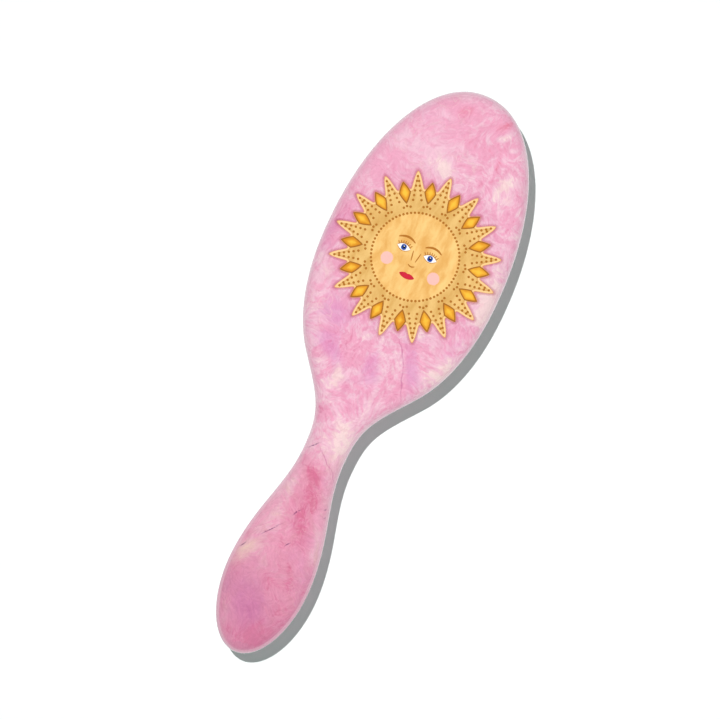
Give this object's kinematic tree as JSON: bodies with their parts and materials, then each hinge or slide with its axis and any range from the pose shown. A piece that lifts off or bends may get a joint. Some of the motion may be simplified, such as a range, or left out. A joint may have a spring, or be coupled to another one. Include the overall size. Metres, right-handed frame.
{
  "type": "hairbrush",
  "caption": "Oval cushion hairbrush with a waisted handle, marbled back with a sun emblem, and ball-tipped pins in a rubber cushion.",
  "frame": {"origin": "under the middle of the brush's length and width, at the height of the lowest pin tips, where the brush stands on its pins", "axes": "+X along the brush from the handle's end to the head's tip, +Y across it, +Z from the pin tips towards the decorated back"},
  "size_m": [0.225, 0.0694, 0.0347],
  "materials": {
    "marbled_back": "gloss, pink marbling, printed gold sun",
    "pink_frame": "semi-gloss moulded",
    "cushion_rubber": "matte soft rubber",
    "clamp_plastic": "moulded, unpolished",
    "backing_foam": "soft sheet",
    "pin_nylon": "satin nylon, rounded ends"
  },
  "bodies": {
    "root": {"back_cover": "marbled_back", "front_frame": "pink_frame", "cushion_pad": "cushion_rubber", "pad_clamp_ring": "clamp_plastic"},
    "pin_bed": {"pin_backing_sheet": "backing_foam"},
    "pins_01": {"bristle_column_01": "pin_nylon"},
    "pins_02": {"bristle_column_02": "pin_nylon"},
    "pins_03": {"bristle_column_03": "pin_nylon"},
    "pins_04": {"bristle_column_04": "pin_nylon"},
    "pins_05": {"bristle_column_05": "pin_nylon"},
    "pins_06": {"bristle_column_06": "pin_nylon"},
    "pins_07": {"bristle_column_07": "pin_nylon"},
    "pins_08": {"bristle_column_08": "pin_nylon"},
    "pins_09": {"bristle_column_09": "pin_nylon"},
    "pins_10": {"bristle_column_10": "pin_nylon"},
    "pins_11": {"bristle_column_11": "pin_nylon"}
  },
  "joints": [
    {"name": "cushion_press", "type": "slide", "parent": "root", "child": "pin_bed", "axis": [0, 0, 1], "range_m": [0, 0.0035], "stiffness_N_per_m": 3000, "deforming": ["cushion_pad"]},
    {"name": "pins_01_lean", "type": "hinge", "parent": "pin_bed", "child": "pins_01", "pos_m": [0.045, -0.022, 0.0182], "axis": [1, 0, 0], "range_deg": [-12, 12], "stiffness_Nm_per_rad": 0.5},
    {"name": "pins_02_lean", "type": "hinge", "parent": "pin_bed", "child": "pins_02", "pos_m": [0.045, -0.0176, 0.0182], "axis": [1, 0, 0], "range_deg": [-12, 12], "stiffness_Nm_per_rad": 0.5},
    {"name": "pins_03_lean", "type": "hinge", "parent": "pin_bed", "child": "pins_03", "pos_m": [0.045, -0.0132, 0.0182], "axis": [1, 0, 0], "range_deg": [-12, 12], "stiffness_Nm_per_rad": 0.5},
    {"name": "pins_04_lean", "type": "hinge", "parent": "pin_bed", "child": "pins_04", "pos_m": [0.045, -0.0088, 0.0182], "axis": [1, 0, 0], "range_deg": [-12, 12], "stiffness_Nm_per_rad": 0.5},
    {"name": "pins_05_lean", "type": "hinge", "parent": "pin_bed", "child": "pins_05", "pos_m": [0.045, -0.0044, 0.0182], "axis": [1, 0, 0], "range_deg": [-12, 12], "stiffness_Nm_per_rad": 0.5},
    {"name": "pins_06_lean", "type": "hinge", "parent": "pin_bed", "child": "pins_06", "pos_m": [0.045, 0, 0.0182], "axis": [1, 0, 0], "range_deg": [-12, 12], "stiffness_Nm_per_rad": 0.5},
    {"name": "pins_07_lean", "type": "hinge", "parent": "pin_bed", "child": "pins_07", "pos_m": [0.045, 0.0044, 0.0182], "axis": [1, 0, 0], "range_deg": [-12, 12], "stiffness_Nm_per_rad": 0.5},
    {"name": "pins_08_lean", "type": "hinge", "parent": "pin_bed", "child": "pins_08", "pos_m": [0.045, 0.0088, 0.0182], "axis": [1, 0, 0], "range_deg": [-12, 12], "stiffness_Nm_per_rad": 0.5},
    {"name": "pins_09_lean", "type": "hinge", "parent": "pin_bed", "child": "pins_09", "pos_m": [0.045, 0.0132, 0.0182], "axis": [1, 0, 0], "range_deg": [-12, 12], "stiffness_Nm_per_rad": 0.5},
    {"name": "pins_10_lean", "type": "hinge", "parent": "pin_bed", "child": "pins_10", "pos_m": [0.045, 0.0176, 0.0182], "axis": [1, 0, 0], "range_deg": [-12, 12], "stiffness_Nm_per_rad": 0.5},
    {"name": "pins_11_lean", "type": "hinge", "parent": "pin_bed", "child": "pins_11", "pos_m": [0.045, 0.022, 0.0182], "axis": [1, 0, 0], "range_deg": [-12, 12], "stiffness_Nm_per_rad": 0.5}
  ]
}
